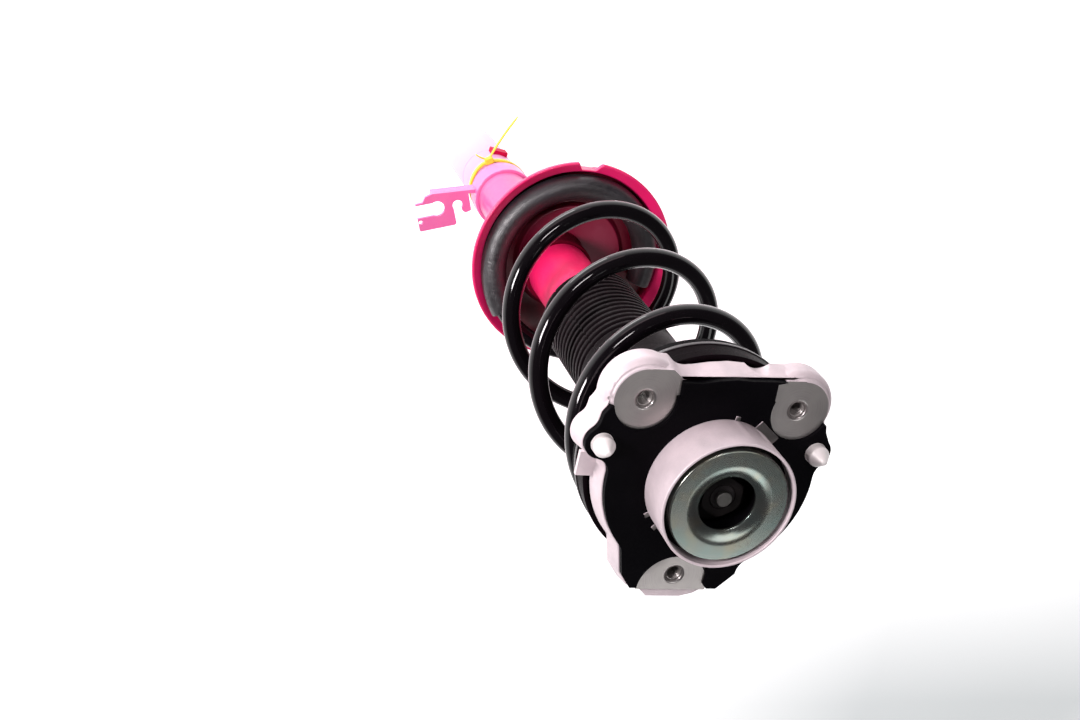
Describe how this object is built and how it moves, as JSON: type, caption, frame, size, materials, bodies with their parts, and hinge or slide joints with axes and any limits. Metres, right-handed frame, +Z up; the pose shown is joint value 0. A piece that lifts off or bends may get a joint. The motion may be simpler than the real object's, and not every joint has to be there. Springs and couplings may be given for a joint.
{
  "type": "coilover strut",
  "caption": "Strut damper with a coil spring, an offset lower spring pan, a dust boot and a bolted cast top mount with a steering bearing.",
  "frame": {"origin": "centre of the tube's lower end", "axes": "+Z up the damper to the top mount, -Y towards the flange's straight edge with two bolts, +X to the hose bracket's side"},
  "size_m": [0.1651, 0.1561, 0.6],
  "materials": {
    "painted_tube": "gloss pink paint",
    "painted_pan": "gloss magenta paint",
    "painted_bracket": "gloss pink paint",
    "painted_lug": "crimson paint",
    "dark_steel": "phosphated",
    "plain_steel": "machined",
    "bearing_steel": "ground",
    "polished_rod": "hard chrome",
    "black_rubber": "satin",
    "sleeve_rubber": "satin, slightly mottled",
    "boot_rubber": "satin",
    "bump_foam": "closed foam",
    "black_wire": "gloss black coating",
    "plate_plastic": "moulded",
    "cage_plastic": "moulded",
    "ring_plastic": "filled",
    "yellow_plastic": "moulded",
    "cast_aluminium": "as cast, bolt pads machined",
    "zinc_disc": "zinc plated sheet"
  },
  "bodies": {
    "strut": {"strut_tube": "painted_tube", "tube_end_cap": "painted_tube", "tube_top_cap": "dark_steel", "rod_guide": "plain_steel", "rod_seal": "black_rubber", "inner_cylinder": "plain_steel", "base_valve": "plain_steel", "spring_pan": "painted_pan", "lower_spring_sleeve": "sleeve_rubber", "hose_bracket": "painted_bracket", "bracket_collar": "painted_bracket", "locating_lug": "painted_lug", "cable_tie": "yellow_plastic", "coil_spring": "black_wire", "dust_boot": "boot_rubber"},
    "upper_seat": {"upper_spring_plate": "plate_plastic", "upper_spring_pad": "black_rubber", "bearing_lower_race": "bearing_steel", "bearing_cage": "cage_plastic", "bearing_balls": "bearing_steel"},
    "top_mount": {"mount_casting": "cast_aluminium", "face_seal": "black_rubber", "locating_pins": "plain_steel", "bearing_upper_race": "bearing_steel", "bush_core": "plain_steel", "bush_rubber": "black_rubber", "nut_washer": "plain_steel", "rod_nut": "plain_steel", "cover_disc": "zinc_disc", "bump_stop_cup": "plain_steel", "bump_stop": "bump_foam", "piston_rod": "polished_rod", "piston": "plain_steel", "piston_ring": "ring_plastic", "piston_nut": "plain_steel", "rebound_stop": "ring_plastic"}
  },
  "joints": [
    {"name": "damper_stroke", "type": "slide", "parent": "strut", "child": "upper_seat", "axis": [0, 0, -1], "range_m": [0, 0.108], "stiffness_N_per_m": 27000, "springref_m": -0.012, "deforming": ["coil_spring", "dust_boot"]},
    {"name": "bearing_turn", "type": "hinge", "parent": "upper_seat", "child": "top_mount", "pos_m": [0, 0, 0.54825], "axis": [0, 0, 1], "continuous": true}
  ]
}
